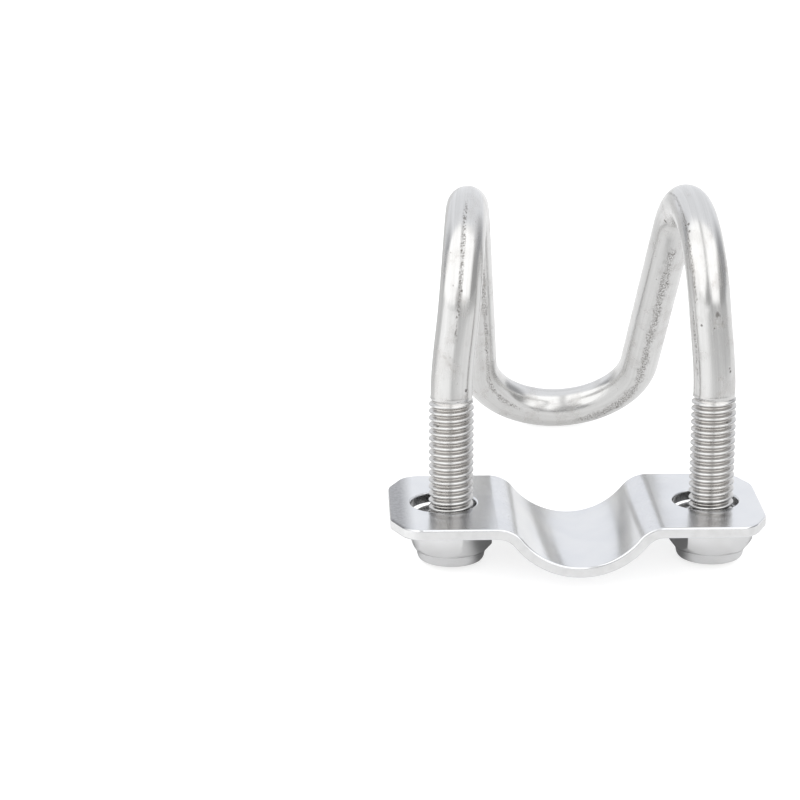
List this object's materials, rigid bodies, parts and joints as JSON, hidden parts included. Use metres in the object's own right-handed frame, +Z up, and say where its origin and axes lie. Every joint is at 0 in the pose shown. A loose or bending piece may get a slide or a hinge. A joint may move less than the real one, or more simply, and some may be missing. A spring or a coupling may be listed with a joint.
{
  "type": "double-bent pipe u-bolt",
  "caption": "Double-bent U-bolt: a threaded rod bent into a U and folded back over its legs, with a pressed saddle plate and nylon-insert lock nuts, for clamping crossing pipes.",
  "frame": {"origin": "middle of the pipe seat on the saddle plate's top face", "axes": "+X from the left leg to the right leg, +Y from the legs towards the closed bend, +Z up the threaded legs"},
  "size_m": [0.065, 0.0767, 0.063],
  "materials": {
    "rod": "satin, tumbled stainless steel with rolled threads",
    "plate": "polished stainless sheet with matt sheared edges",
    "nut": "smooth bright stainless steel",
    "insert": "natural nylon"
  },
  "bodies": {
    "bolt": {"bent_rod": "rod"},
    "saddle": {"saddle_plate": "plate"},
    "nut_left": {"lock_nut_left": "nut", "nylon_insert_left": "insert"},
    "nut_right": {"lock_nut_right": "nut", "nylon_insert_right": "insert"}
  },
  "joints": [
    {"name": "saddle_slide", "type": "slide", "parent": "bolt", "child": "saddle", "axis": [0, 0, 1], "range_m": [-0.0075, 0.02]},
    {"name": "nut_left_spin", "type": "hinge", "parent": "saddle", "child": "nut_left", "pos_m": [-0.0217, -0.0006, 0.001], "axis": [0, 0, 1], "range_deg": [-2161, 5761]},
    {"name": "nut_right_spin", "type": "hinge", "parent": "saddle", "child": "nut_right", "pos_m": [0.0239, -0.0006, 0.001], "axis": [0, 0, 1], "range_deg": [-2161, 5761]}
  ],
  "couplings": [
    {"joint": "nut_left_spin", "follows": "saddle_slide", "rad_per_m": 5026.5},
    {"joint": "nut_right_spin", "follows": "saddle_slide", "rad_per_m": 5026.5}
  ]
}
